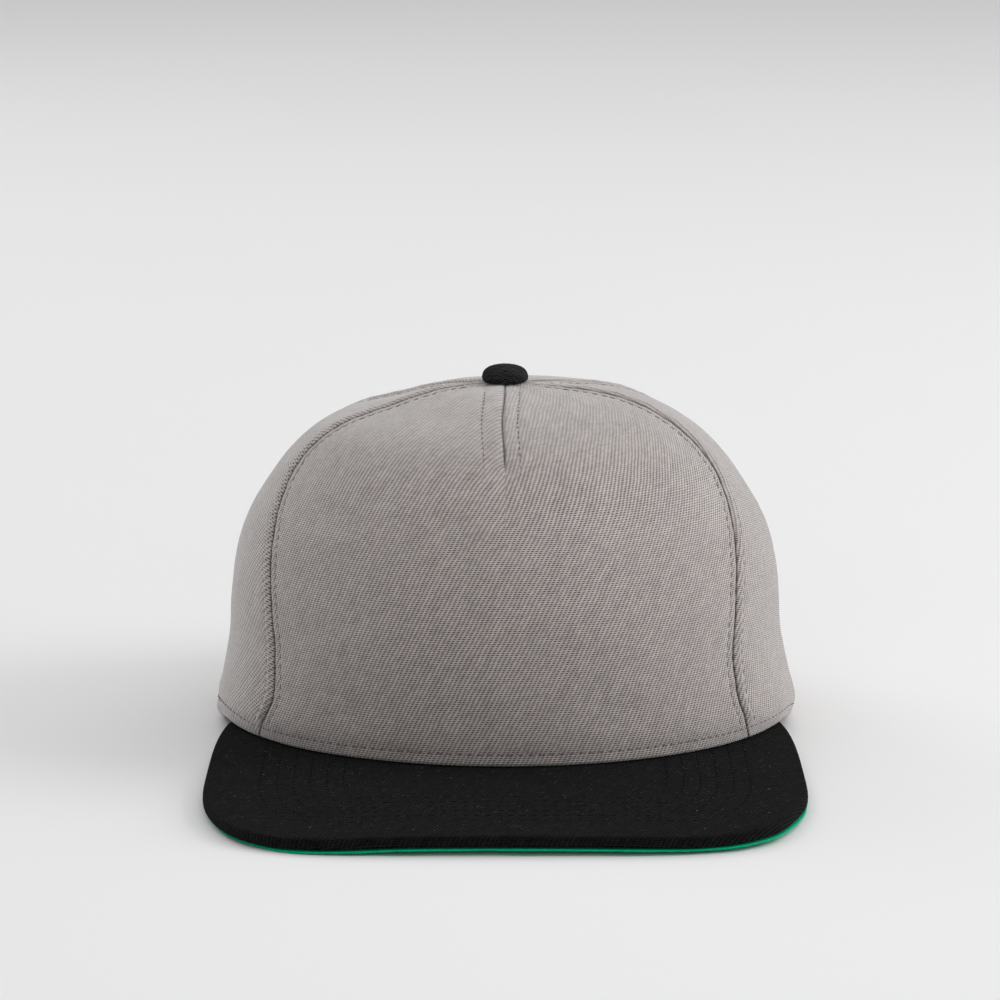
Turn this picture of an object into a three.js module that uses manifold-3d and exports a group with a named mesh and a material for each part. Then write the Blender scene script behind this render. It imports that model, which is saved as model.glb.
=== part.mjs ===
// A five-panel cap with a flat brim, in millimetres. +Z is up and the brim points towards -Y.
// The crown is worked out round its own upright axis, and the whole cap is centred at the end.
import * as THREE from "three";
import { mergeVertices } from "three/addons/utils/BufferGeometryUtils.js";
import Module from "manifold-3d";

const wasm = await Module();
wasm.setup();

// Thicknesses and gaps
const wall = 2; // twill with its backing
const pieceGap = 0.3; // air between neighbouring pieces
const bandWall = 1.3;
const bandEase = 0.45; // the bands lie a little looser inside the crown than its own pieces
const strapWall = 1.3;
const brimBoard = 3.5; // board in its black cover
const brimLining = 0.8; // green cloth under the board

// Brim, measured from the crown's axis
const brimFront = 169.5;
const brimHalfWidth = 90.5;
const brimWidestAt = 99.5; // how far in front of the axis the brim is widest
const brimSidePower = 6; // how square the outline is towards the sides
const brimFrontPower = 2.5; // and towards the front
const brimTipAngle = THREE.MathUtils.degToRad(71);
const brimTipHalfWidth = 87.5;
const brimTipAt = 28.5;
const brimEdgeRound = 1.5;
const brimFrontLift = 0.8; // the middle of the front edge stands this far off the table
const brimCrownLift = 2.1; // and the board climbs this much more by the crown
const brimThickness = brimBoard + pieceGap + brimLining;

// Crown
const crownHeight = 109;
const topHoleRadius = 3.3; // the panels stop at a small hole that the button covers
const dartReach = 65; // how far from the axis the front panel's dart runs
const dartDepth = 0.9;
const hemRiseEnds = { from: THREE.MathUtils.degToRad(73), to: THREE.MathUtils.degToRad(94) };

// Rows up the crown: height, how far the cloth stands from the axis at the front, side and back,
// and where the two seams on each side run, in degrees round from the front.
const crownRows = [
  { height: 0, front: 97.4, side: 91.0, back: 98.0, frontSeam: 55.5, rearSeam: 121 },
  { height: 7, front: 98.2, side: 93.0, back: 99.6, frontSeam: 53, rearSeam: 121 },
  { height: 17, front: 97.8, side: 90.8, back: 100.2, frontSeam: 51.2, rearSeam: 121 },
  { height: 29, front: 97.0, side: 88.3, back: 99.6, frontSeam: 51.3, rearSeam: 121 },
  { height: 41, front: 95.4, side: 87.4, back: 97.6, frontSeam: 53.2, rearSeam: 121 },
  { height: 53, front: 92.6, side: 86.1, back: 94.2, frontSeam: 55.6, rearSeam: 121 },
  { height: 65, front: 88.4, side: 82.9, back: 89.0, frontSeam: 58.6, rearSeam: 121 },
  { height: 76, front: 82.4, side: 76.9, back: 81.8, frontSeam: 62.8, rearSeam: 121 },
  { height: 86, front: 74.2, side: 69.7, back: 72.8, frontSeam: 67, rearSeam: 120 },
  { height: 94.5, front: 63.0, side: 61.0, back: 61.8, frontSeam: 69.5, rearSeam: 119 },
  { height: 101, front: 49.0, side: 49.4, back: 48.8, frontSeam: 72.5, rearSeam: 117 },
  { height: 105.5, front: 33.5, side: 35.2, back: 34.0, frontSeam: 74.5, rearSeam: 114 },
  { height: 108.2, front: 17.0, side: 18.5, back: 17.5, frontSeam: 76, rearSeam: 110 },
  { height: crownHeight, front: 0, side: 0, back: 0, frontSeam: 78, rearSeam: 108 },
];
const apexLevel = crownRows.length - 1;

// Relief beside a seam: distance from it, and how far the cloth stands out there.
const seamRelief = [
  { distance: pieceGap / 2, proud: -0.7 },
  { distance: 1.1, proud: -0.1 },
  { distance: 2.4, proud: 0.3 },
  { distance: 4.8, proud: 0 },
];

// Relief beside the dart in the middle of the front panel.
const dartRelief = [
  { distance: 0, proud: -dartDepth },
  { distance: 0.9, proud: 0 },
  { distance: 2.6, proud: 0.2 },
];

// Relief up from the lower edge: a rolled hem and the groove of the stitches above it.
const hemRelief = [
  { distance: 0, proud: -0.5 },
  { distance: 0.7, proud: 0 },
  { distance: 2.6, proud: 0 },
  { distance: 3.3, proud: -0.45 },
  { distance: 4.2, proud: 0 },
];

// Half-moon opening at the back, over the strap
const archHalfWidth = 48;
const archHeight = 50;

// Bands inside the rim
const sweatbandHeight = 30;
const sweatbandEnd = THREE.MathUtils.degToRad(141);
const bandFoot = 0.6; // how far the bands stand off the rim's lowest face
const strapHeight = 18;
const strapEnd = THREE.MathUtils.degToRad(142.5);
const snaps = { count: 7, pitch: 9.5, radius: 2.1, height: 1.2, sides: 10 };

// Button: radius and height over the crown's top, from the foot of its shank to the top of its dome
const buttonProfile = [
  { radius: 0, height: -4.2 },
  { radius: 2.8, height: -4.2 },
  { radius: 2.8, height: 0.2 },
  { radius: 6.6, height: 0.1 },
  { radius: 7.3, height: 0.9 },
  { radius: 7.5, height: 2.0 },
  { radius: 7.0, height: 3.4 },
  { radius: 5.6, height: 4.6 },
  { radius: 3.4, height: 5.3 },
  { radius: 1.6, height: 5.5 },
  { radius: 0, height: 5.55 },
];

// Grid sizes
const levelsUp = 14;
const columnsAcross = { halfFront: 6, side: 8, back: 10 };
const brimColumns = 22;
const bandColumns = 44;
const buttonSides = 30;

const smoothStep = (value) => THREE.MathUtils.smoothstep(value, 0, 1);
const seamAngle = (name, level) => THREE.MathUtils.degToRad(rowValue(name, level));

// The row past either end of the table, which steers the curve through the last rows.
function rowBeyond(name, row) {
  if (row < 0) return 2 * crownRows[0][name] - crownRows[1][name];
  const mirrored = crownRows[apexLevel - 1][name];
  if (name === "height") return mirrored;
  return 2 * crownRows[apexLevel][name] - mirrored;
}

// One column of the table at any level, on a smooth curve through its rows.
function rowValue(name, level) {
  const low = Math.max(0, Math.min(Math.floor(level), apexLevel - 1));
  const [a, b, c, d] = [-1, 0, 1, 2].map((step) => {
    const row = crownRows[low + step];
    return row ? row[name] : rowBeyond(name, low + step);
  });
  const s = level - low;
  return b + 0.5 * s * (c - a + s * (2 * a - 5 * b + 4 * c - d + s * (3 * (b - c) + d - a)));
}

// The level whose cloth has the given height over the rim.
function levelAt(height) {
  let low = 0;
  let high = apexLevel;
  for (let step = 0; step < 30; step++) {
    const middle = (low + high) / 2;
    if (rowValue("height", middle) < height) low = middle;
    else high = middle;
  }
  return low;
}

// How far the outer face stands from the axis: an ellipse at every level.
function outerRadius(angle, level) {
  const facing = Math.cos(angle) > 0 ? "front" : "back";
  return 1 / Math.hypot(
    Math.cos(angle) / rowValue(facing, level),
    Math.sin(angle) / rowValue("side", level),
  );
}

const onCircle = (angle, radius, height) =>
  new THREE.Vector3(radius * Math.sin(angle), -radius * Math.cos(angle), height);

// The underside of the brim: its outer edge lies on the table, and its middle climbs to the crown.
function brimUnderside(x, y) {
  const across = Math.abs(x) / brimHalfWidth;
  const back = THREE.MathUtils.clamp((y + brimFront) / (brimFront - crownRows[0].front), 0, 1);
  const front = brimFrontLift * Math.max(0, 1 - 2 * across ** 2);
  return front + brimCrownLift * back * Math.max(0, 1 - across ** 6);
}

// The height of the brim's underside below the rim, fading out behind the brim's tips.
function brimUnderRim(angle) {
  const rim = onCircle(angle, outerRadius(angle, 0), 0);
  const behind = (Math.abs(angle) - hemRiseEnds.from) / (hemRiseEnds.to - hemRiseEnds.from);
  return { height: brimUnderside(rim.x, Math.min(rim.y, 0)), share: 1 - smoothStep(behind) };
}

// The rim lies on top of the brim in front and on the table behind it.
function rimHeight(angle) {
  const brim = brimUnderRim(angle);
  return brim.share * (brim.height + brimThickness + pieceGap);
}

function crownPoint(angle, level) {
  const height = rowValue("height", level);
  const lift = rimHeight(angle) * (1 - height / crownHeight);
  return onCircle(angle, outerRadius(angle, level), height + lift);
}

function crownNormal(angle, level) {
  const step = 0.01;
  const round = crownPoint(angle + step, level).sub(crownPoint(angle - step, level));
  const up = crownPoint(angle, level + step).sub(crownPoint(angle, level - step));
  return round.cross(up).normalize();
}

// Distances of grid lines along a length: close ones at either end, even ones between.
// Where the length is short the close ones draw together.
function spread(length, atStart, evenCount, atEnd) {
  const reach = Math.max(atStart.at(-1).distance, atEnd.at(-1).distance);
  const squeeze = Math.min(1, length / (2.6 * reach));
  const place = (row) => {
    const fixed = Math.min(row.distance, pieceGap / 2);
    return fixed + (row.distance - fixed) * squeeze;
  };
  const first = atStart.map((row) => ({ at: place(row), proud: row.proud * squeeze }));
  const last = atEnd.map((row) => ({ at: length - place(row), proud: row.proud * squeeze }));
  const from = first.at(-1).at;
  const to = last.at(-1).at;
  const even = Array.from({ length: evenCount }, (_, i) => ({
    at: from + ((to - from) * (i + 1)) / (evenCount + 1),
    proud: 0,
  }));
  return [...first, ...even, ...last.reverse()];
}

// A closed solid between an outer and an inner grid of points. Seen from outside, columns run to
// the right and rows run up.
function slab(columns, rows, outerPoint, innerPoint) {
  const positions = [];
  const index = [];
  for (const point of [outerPoint, innerPoint])
    for (let row = 0; row < rows; row++)
      for (let column = 0; column < columns; column++)
        positions.push(...point(column, row).toArray());
  const outer = (column, row) => row * columns + column;
  const inner = (column, row) => (rows + row) * columns + column;
  const quad = (a, b, c, d) => index.push(a, b, c, a, c, d);
  for (let row = 0; row < rows - 1; row++)
    for (let column = 0; column < columns - 1; column++) {
      const [left, right, low, high] = [column, column + 1, row, row + 1];
      quad(outer(left, low), outer(right, low), outer(right, high), outer(left, high));
      quad(inner(left, high), inner(right, high), inner(right, low), inner(left, low));
    }
  const [lastColumn, lastRow] = [columns - 1, rows - 1];
  for (let column = 0; column < lastColumn; column++) {
    const next = column + 1;
    quad(inner(column, 0), inner(next, 0), outer(next, 0), outer(column, 0));
    quad(outer(column, lastRow), outer(next, lastRow), inner(next, lastRow), inner(column, lastRow));
  }
  for (let row = 0; row < lastRow; row++) {
    const next = row + 1;
    quad(outer(0, row), outer(0, next), inner(0, next), inner(0, row));
    quad(inner(lastColumn, row), inner(lastColumn, next), outer(lastColumn, next), outer(lastColumn, row));
  }
  const geometry = new THREE.BufferGeometry();
  geometry.setAttribute("position", new THREE.Float32BufferAttribute(positions, 3));
  geometry.setIndex(index);
  return geometry;
}

// The other-handed copy, with its faces turned back outwards.
function mirrored(geometry) {
  const copy = geometry.clone();
  copy.scale(-1, 1, 1);
  const turned = copy.index.array;
  for (let i = 0; i < turned.length; i += 3) [turned[i], turned[i + 1]] = [turned[i + 1], turned[i]];
  return copy;
}

const topLevel = apexLevel - topHoleRadius / crownRows[apexLevel - 1].side;

// Levels up a panel from a starting level: the hem's, then even ones to the hole at the top.
function levelsFrom(startLevel) {
  const foot = rowValue("height", startLevel);
  const hem = hemRelief.map((row) => ({ level: levelAt(foot + row.distance), proud: row.proud }));
  hem[0].level = startLevel;
  const from = hem.at(-1).level;
  const rest = Array.from({ length: levelsUp }, (_, i) => ({
    level: from + ((topLevel - from) * (i + 1)) / levelsUp,
    proud: 0,
  }));
  return [...hem, ...rest];
}

// The solid of one panel. placeAt gives each grid crossing its angle, its level and its relief.
function panelGeometry(columns, placeAt) {
  const rows = hemRelief.length + levelsUp;
  const offsetPoint = (column, row, isInner) => {
    const { angle, level, proud } = placeAt(column, row);
    const cloth = crownPoint(angle, level);
    const point = cloth.clone().addScaledVector(crownNormal(angle, level), isInner ? -wall : proud);
    if (row === 0) point.z = cloth.z;
    return point;
  };
  const outerPoint = (column, row) => offsetPoint(column, row, false);
  const innerPoint = (column, row) => offsetPoint(column, row, true);
  return slab(columns, rows, outerPoint, innerPoint);
}

function frontPanelGeometry() {
  const levels = levelsFrom(0);
  const columns = 2 * (seamRelief.length + columnsAcross.halfFront + dartRelief.length) - 1;
  const middle = (columns - 1) / 2;
  return panelGeometry(columns, (column, row) => {
    const { level, proud: hemProud } = levels[row];
    const half = seamAngle("frontSeam", level);
    const halfWidth = half * outerRadius(0, level);
    const lines = spread(halfWidth, seamRelief, columnsAcross.halfFront, dartRelief);
    const side = Math.sign(column - middle);
    const line = lines[middle - Math.abs(column - middle)];
    const fromSeam = line.at / halfWidth;
    const underDart = outerRadius(0, level) > dartReach && Math.abs(column - middle) < dartRelief.length;
    const proud = underDart ? 0 : line.proud;
    return { angle: side * half * (1 - fromSeam), level, proud: proud + hemProud };
  });
}

function sidePanelGeometry() {
  const levels = levelsFrom(0);
  const columns = 2 * seamRelief.length + columnsAcross.side;
  return panelGeometry(columns, (column, row) => {
    const { level, proud } = levels[row];
    const start = seamAngle("frontSeam", level);
    const end = seamAngle("rearSeam", level);
    const width = (end - start) * outerRadius((start + end) / 2, level);
    const line = spread(width, seamRelief, columnsAcross.side, seamRelief)[column];
    const angle = start + ((end - start) * line.at) / width;
    return { angle, level, proud: proud + line.proud };
  });
}

// The lower edge of a back panel: along the rim to the foot of the half-moon, then up its curve.
// across is 0 at the rear seam and 1 at the middle of the back.
function backEdge(across) {
  const rimRadius = rowValue("back", 0);
  const seam = seamAngle("rearSeam", 0);
  const foot = Math.PI - archHalfWidth / rimRadius;
  const rimLength = (foot - seam) * rimRadius;
  const archLength = (Math.PI / 4) * (archHalfWidth + archHeight);
  const footAcross = rimLength / (rimLength + archLength);
  if (across <= footAcross) return { angle: seam + ((foot - seam) * across) / footAcross, height: 0 };
  const turn = ((across - footAcross) / (1 - footAcross)) * (Math.PI / 2);
  const angle = Math.PI - (archHalfWidth * Math.cos(turn)) / rimRadius;
  return { angle, height: archHeight * Math.sin(turn) };
}

function backPanelGeometry() {
  const columns = 2 * seamRelief.length + columnsAcross.back;
  const settled = 0.55; // share of the way up where the columns are evenly spread again
  return panelGeometry(columns, (column, row) => {
    const even = (Math.PI - seamAngle("rearSeam", 0)) * rowValue("back", 0);
    const across = spread(even, seamRelief, columnsAcross.back, seamRelief)[column].at / even;
    const edge = backEdge(across);
    const startLevel = levelAt(edge.height);
    const { level, proud: hemProud } = levelsFrom(startLevel)[row];
    const start = seamAngle("rearSeam", level);
    const width = (Math.PI - start) * outerRadius(Math.PI, level);
    const line = spread(width, seamRelief, columnsAcross.back, seamRelief)[column];
    const edgeStart = seamAngle("rearSeam", startLevel);
    const edgeShare = (edge.angle - edgeStart) / (Math.PI - edgeStart);
    const rise = smoothStep((level - startLevel) / (topLevel - startLevel) / settled);
    const isSeam = column < seamRelief.length || column >= columns - seamRelief.length;
    const share = isSeam ? line.at / width : THREE.MathUtils.lerp(edgeShare, line.at / width, rise);
    return { angle: start + (Math.PI - start) * share, level, proud: hemProud + line.proud };
  });
}

// Even steps along a path that is given as many close points.
function evenSteps(path, count) {
  const lengths = [0];
  for (let i = 1; i < path.length; i++) lengths.push(lengths[i - 1] + path[i].distanceTo(path[i - 1]));
  return Array.from({ length: count + 1 }, (_, step) => {
    const wanted = (lengths.at(-1) * step) / count;
    const next = Math.max(1, lengths.findIndex((length) => length >= wanted - 1e-9));
    const share = (wanted - lengths[next - 1]) / (lengths[next] - lengths[next - 1]);
    return path[next - 1].clone().lerp(path[next], share);
  });
}

// Half of the brim's outline in plan, from the middle of its front edge to its tip.
function brimOutline(steps) {
  const path = [];
  const fine = 90;
  for (let i = 0; i <= fine; i++) {
    const turn = (i / fine) * (Math.PI / 2);
    const x = brimHalfWidth * Math.sin(turn) ** (2 / brimSidePower);
    const depth = (brimFront - brimWidestAt) * Math.cos(turn) ** (2 / brimFrontPower);
    path.push(new THREE.Vector2(x, -brimWidestAt - depth));
  }
  for (let i = 1; i <= fine; i++) {
    const back = i / fine;
    const x = brimHalfWidth - (brimHalfWidth - brimTipHalfWidth) * back ** 4;
    path.push(new THREE.Vector2(x, THREE.MathUtils.lerp(-brimWidestAt, -brimTipAt, back)));
  }
  return evenSteps(path, steps);
}

// Half of the brim's inner edge, under the inner face of the crown.
function brimInnerEdge(steps) {
  return Array.from({ length: steps + 1 }, (_, i) => {
    const angle = (brimTipAngle * i) / steps;
    const point = onCircle(angle, outerRadius(angle, 0) - wall, 0);
    return new THREE.Vector2(point.x, point.y);
  });
}

// Lines across the brim from its outer edge: inset from the edge, and how far the top drops there.
const brimEdgeLines = [
  { inset: 0, drop: brimEdgeRound },
  { inset: 0.25 * brimEdgeRound, drop: 0.3 * brimEdgeRound },
  { inset: brimEdgeRound, drop: 0 },
];
const brimShares = [0.15, 0.4, 0.7, 1];

// A layer of the brim between two heights over its underside.
function brimLayer(low, high, lines, edgeInset) {
  const outline = brimOutline(brimColumns);
  const innerEdge = brimInnerEdge(brimColumns);
  const planAt = (column, row) => {
    const step = Math.abs(column - brimColumns);
    const side = Math.sign(column - brimColumns) || 1;
    const reach = outline[step].distanceTo(innerEdge[step]);
    const inset = row < lines.length
      ? edgeInset + lines[row].inset
      : THREE.MathUtils.lerp(lines.at(-1).inset, reach, brimShares[row - lines.length]);
    const plan = outline[step].clone().lerp(innerEdge[step], Math.min(1, inset / reach));
    return { x: side * plan.x, y: plan.y, drop: lines[row]?.drop ?? 0 };
  };
  const pointAt = (height, dropScale) => (column, row) => {
    const { x, y, drop } = planAt(column, row);
    return new THREE.Vector3(x, y, brimUnderside(x, y) + height - dropScale * drop);
  };
  const rows = lines.length + brimShares.length;
  return slab(2 * brimColumns + 1, rows, pointAt(high, 1), pointAt(low, 0));
}

// The level whose cloth stands at the given height over the table.
function levelOverTable(angle, height) {
  const rim = rimHeight(angle);
  return levelAt((height - rim) / (1 - rim / crownHeight));
}

// A band that follows the inside of the crown between two angles, from its foot up by the heights.
function innerBand(startAngle, endAngle, columns, heights, thickness, footAt) {
  const pointAt = (inset) => (column, row) => {
    const angle = THREE.MathUtils.lerp(startAngle, endAngle, column / (columns - 1));
    const height = footAt(angle) + heights[row];
    return onCircle(angle, outerRadius(angle, levelOverTable(angle, height)) - inset, height);
  };
  const outerInset = wall + pieceGap + bandEase;
  return slab(columns, heights.length, pointAt(outerInset), pointAt(outerInset + thickness));
}

function sweatbandGeometry() {
  const footAt = (angle) => {
    const brim = brimUnderRim(angle);
    return bandFoot + brim.share * brim.height;
  };
  const heights = [0, 0.2, 0.4, 0.6, 0.8, 1].map((share) => share * sweatbandHeight);
  return innerBand(-sweatbandEnd, sweatbandEnd, bandColumns, heights, bandWall, footAt);
}

// A mesh's triangles as a solid that can be joined to others.
function solidOf(geometry) {
  const plain = geometry.clone();
  plain.deleteAttribute("normal");
  plain.deleteAttribute("uv");
  const merged = mergeVertices(plain, 1e-3);
  return new wasm.Manifold(new wasm.Mesh({
    numProp: 3,
    vertProperties: merged.attributes.position.array,
    triVerts: new Uint32Array(merged.index.array),
  }));
}

function geometryOf(solid) {
  const mesh = solid.getMesh();
  const geometry = new THREE.BufferGeometry();
  geometry.setAttribute("position", new THREE.BufferAttribute(mesh.vertProperties, mesh.numProp));
  geometry.setIndex(new THREE.BufferAttribute(mesh.triVerts, 1));
  return geometry;
}

// The closing strap with the heads of its snaps standing out of the outer face.
function strapGeometry() {
  const heights = [0, 0.5, 1].map((share) => share * strapHeight);
  const columns = 25;
  const band = innerBand(strapEnd, 2 * Math.PI - strapEnd, columns, heights, strapWall, () => 2 * bandFoot);
  let strap = solidOf(band);
  const middleLevel = levelAt(strapHeight / 2);
  for (let i = 0; i < snaps.count; i++) {
    const angle = Math.PI + ((i - (snaps.count - 1) / 2) * snaps.pitch) / rowValue("back", middleLevel);
    const face = outerRadius(angle, middleLevel) - wall - pieceGap;
    const snap = new THREE.CylinderGeometry(snaps.radius, snaps.radius, 2 * snaps.height, snaps.sides);
    snap.rotateZ(angle);
    const place = onCircle(angle, face, 2 * bandFoot + strapHeight / 2);
    snap.translate(place.x, place.y, place.z);
    strap = strap.add(solidOf(snap));
  }
  return geometryOf(strap);
}

function buttonGeometry() {
  const profile = buttonProfile.map((row) => new THREE.Vector2(row.radius, row.height));
  const button = new THREE.LatheGeometry(profile, buttonSides);
  button.rotateX(Math.PI / 2);
  button.translate(0, 0, crownHeight + pieceGap);
  return button;
}

// Materials
const cloth = (color) => new THREE.MeshStandardMaterial({ color, roughness: 0.92, metalness: 0 });
const greyTwill = cloth(0xa09a97);
const blackTwill = cloth(0x1b1b1c);
const greenTwill = cloth(0x067a55);
const blackPlastic = new THREE.MeshStandardMaterial({ color: 0x141416, roughness: 0.45, metalness: 0 });

const sidePanel = sidePanelGeometry();
const backPanel = backPanelGeometry();
const pieces = [
  { name: "front_panel", geometry: frontPanelGeometry(), material: greyTwill },
  { name: "side_panel_right", geometry: sidePanel, material: greyTwill },
  { name: "side_panel_left", geometry: mirrored(sidePanel), material: greyTwill },
  { name: "back_panel_right", geometry: backPanel, material: greyTwill },
  { name: "back_panel_left", geometry: mirrored(backPanel), material: greyTwill },
  { name: "top_button", geometry: buttonGeometry(), material: blackTwill },
  {
    name: "brim_top",
    geometry: brimLayer(brimLining + pieceGap, brimThickness, brimEdgeLines, 0),
    material: blackTwill,
  },
  {
    name: "brim_lining",
    geometry: brimLayer(0, brimLining, [{ inset: 0, drop: 0 }, { inset: 2, drop: 0 }], 0.2),
    material: greenTwill,
  },
  { name: "sweatband", geometry: sweatbandGeometry(), material: blackTwill },
  { name: "snap_strap", geometry: strapGeometry(), material: blackPlastic },
];

const cap = new THREE.Group();
for (const { name, geometry, material } of pieces) {
  const mesh = new THREE.Mesh(geometry, material);
  mesh.name = name;
  cap.add(mesh);
}

// The origin is the middle of the cap's footprint on the table.
const reach = new THREE.Box3().setFromObject(cap);
const middle = reach.getCenter(new THREE.Vector3());
for (const mesh of cap.children) mesh.position.set(-middle.x, -middle.y, -reach.min.z);

export default cap;
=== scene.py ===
"""A five-panel snapback cap that stands on a pale floor, in metres. The brim points towards -Y.

Shapes are worked out in millimetres round the crown's upright axis, with the sizes of the CAD
pieces, and set in place in metres at the end.
"""
import math
import random

import bmesh
import bpy
import numpy as np
from mathutils import Matrix, Vector


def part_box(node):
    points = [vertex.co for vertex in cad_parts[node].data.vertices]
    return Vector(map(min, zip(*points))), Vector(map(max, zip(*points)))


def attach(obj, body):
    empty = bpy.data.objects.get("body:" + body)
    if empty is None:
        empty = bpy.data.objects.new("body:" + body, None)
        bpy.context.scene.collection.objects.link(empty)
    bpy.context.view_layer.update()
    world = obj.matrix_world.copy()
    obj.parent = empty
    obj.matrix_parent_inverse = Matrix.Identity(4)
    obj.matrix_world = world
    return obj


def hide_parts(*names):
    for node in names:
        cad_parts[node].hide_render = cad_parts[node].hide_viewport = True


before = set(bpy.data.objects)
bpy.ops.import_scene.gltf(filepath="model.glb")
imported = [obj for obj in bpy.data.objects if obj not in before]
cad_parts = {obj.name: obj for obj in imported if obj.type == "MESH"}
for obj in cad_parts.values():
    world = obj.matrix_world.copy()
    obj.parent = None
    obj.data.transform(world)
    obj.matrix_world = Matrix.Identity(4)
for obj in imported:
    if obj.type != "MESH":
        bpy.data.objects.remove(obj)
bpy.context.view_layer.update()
random.seed(41)

MM = 0.001
button_low, button_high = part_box("top_button")
AXIS = (button_low + button_high) / 2

# Thicknesses and gaps
WALL = 2.0
PIECE_GAP = 0.3
BAND_EASE = 0.45
BAND_WALL = 1.3
BAND_INSET = WALL + PIECE_GAP + BAND_EASE
BOARD = 3.5
LINING = 0.8
BRIM_THICKNESS = BOARD + PIECE_GAP + LINING

# Crown: rows of height, distance from the axis at the front, side and back, and seam directions
CROWN_COLUMNS = ("height", "front", "side", "back", "front_seam", "rear_seam")
CROWN_ROWS = np.array((
    (0, 97.4, 91.0, 98.0, 55.5, 121),
    (7, 98.2, 93.0, 99.6, 53, 121),
    (17, 97.8, 90.8, 100.2, 51.2, 121),
    (29, 97.0, 88.3, 99.6, 51.3, 121),
    (41, 95.4, 87.4, 97.6, 53.2, 121),
    (53, 92.6, 86.1, 94.2, 55.6, 121),
    (65, 88.4, 82.9, 89.0, 58.6, 121),
    (76, 82.4, 76.9, 81.8, 62.8, 121),
    (86, 74.2, 69.7, 72.8, 67, 120),
    (94.5, 63.0, 61.0, 61.8, 69.5, 119),
    (101, 49.0, 49.4, 48.8, 72.5, 117),
    (105.5, 33.5, 35.2, 34.0, 74.5, 114),
    (108.2, 17.0, 18.5, 17.5, 76, 110),
    (109, 0, 0, 0, 78, 108),
))
CROWN_HEIGHT = 109
APEX = len(CROWN_ROWS) - 1
TOP_HOLE_RADIUS = 3.3
TOP_LEVEL = APEX - TOP_HOLE_RADIUS / CROWN_ROWS[APEX - 1][2]
HEM_RISE_FROM = math.radians(73)
HEM_RISE_TO = math.radians(94)
ARCH_HALF_WIDTH = 48
ARCH_HEIGHT = 50

# Where the sewn crown departs from its table
SHOULDER_SLOPE = (0.9, 2.1)  # it stands higher on the right and lower on the left, by these
SHOULDER_RADIUS = 40
SHOULDER_SPREAD = 15
LEFT_HOLLOW = 0.8  # low on the left it is drawn in
LEFT_HOLLOW_HEIGHT = 16
LEFT_HOLLOW_SPREAD = 14
LEFT_SWINGS = ((1.3, 84, 13), (-1.6, 13, 9))  # of the left front seam: degrees, height, spread
RIGHT_SWING = -1.3  # of the right front seam, in degrees, below these heights
RIGHT_SWING_HEIGHTS = (62, 84)
SEAM_WOBBLE = 0.05

# Brim, measured from the crown's axis
BRIM_FRONT = 169.5
BRIM_EASE = 2.0  # the cover's front edge reaches this much further out
BRIM_HALF_WIDTH = 90.5
BRIM_WIDEST_AT = 99.5
BRIM_SIDE_POWER = 6
BRIM_FRONT_POWER = 2.5
BRIM_TIP_ANGLE = math.radians(71)
BRIM_TIP_HALF_WIDTH = 87.5
BRIM_TIP_AT = 28.5
BRIM_EDGE_ROUND = 1.5
BRIM_COLUMNS = 320
BRIM_FRONT_LIFT = 0.8
BRIM_CROWN_LIFT = 2.1
EDGE_LIFT = 0.65  # the cloth-covered edge is bent up a little more along the front
CORNER_LIFT = 0.7  # and most at the right front corner
CORNER_SLACK = 0.5  # the left front corner is drawn in by this much
RIGHT_SLACK = 1.0  # and the right one by this much
EDGE_LIFT_FORWARD = (100, 170)  # zones where these start and are full, forward or to a side
EDGE_LIFT_LEFT_END = (25, 55)
CORNER_ACROSS = (50, 86)
CORNER_FORWARD = (105, 150)
SLACK_FORWARD = (115, 145)
SLACK_LEFT = (74, 86)
SLACK_RIGHT = (78, 87)
LINING_LEFT = (64, 76)
BRIM_GROOVE = 0.16
LINING_INSET = 0.15
LINING_INSET_LEFT = 1.5  # more at the left front corner

# Stitches
SEAM_ROW_FRONT = 3.3  # from the seam, on the front panel
SEAM_ROW_SIDE = 4.8  # and on the panels behind it
HEM_ROW = 4.0
HEM_ROW_RISES = (2.2, 0.4)  # it runs higher up at the left and right sides
DART_ROWS = (-6.4, 4.8)
DART_STITCH_FROM = 14
BRIM_ROWS = (17, 22, 27, 32, 37, 42)
ROW_END_GAP = 1.5
ROW_TOP = TOP_LEVEL - 0.55
FRONT_SINK = 0.13  # how deep the middle of a stitch lies below the plain cloth
SIDE_SINK = 0.01
MIDDLE_SINK = 0.1
DART_SINK = 0.16
DART_GROOVE_SINK = 0.7
HEM_SINK = 0.04
ARCH_SINK = 0.02

# Relief at the seams and edges of the cloth
SEAM_ZONE = 6.5  # the columns stand close together this near to a seam
SEAM_COLUMNS = 0.17  # and so do this share of them
DART_ZONE = 5
DART_COLUMNS = 0.13
SEAM_DEPTH = 0.85
SEAM_FOOT = (3.5, 9.5)  # the ridges start between these heights
# width of the painted shade down in a seam's groove
PAINTED_SHADE_WIDTH = 0.38
ROLLED_DEPTH = 0.45
SEAM_WIDTH = 0.35
SEAM_PULL = 0.24
FRONT_RIDGE = 0.1
ROLLED_RIDGE = 0.9  # the side panels' front edge rolls over the seam
REAR_RIDGE = 0.2
BACK_RIDGE = 0.5
MIDDLE_RIDGE = 0.4
HEM_EDGE = 0.6
HEM_FLARE = 0.3
DIMPLE_AT = math.radians(-84)
DIMPLE_WIDTH = 0.075
DIMPLE_FORMS = ((0.5, 3.4, 2.2), (-1.3, 7.2, 2.2))  # rise, height, spread
RIPPLES = (  # depth, then turn, climb and start of two waves that cross
    (0.16, 3.1, 0.055, 0.6, 2.3, 0.09, 0),
    (0.09, 9.3, -0.13, 1.9, -3.7, 0.21, 0.4),
    (0.035, 31, 0.42, 0, -17, 0.55, 1.1),
)

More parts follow.
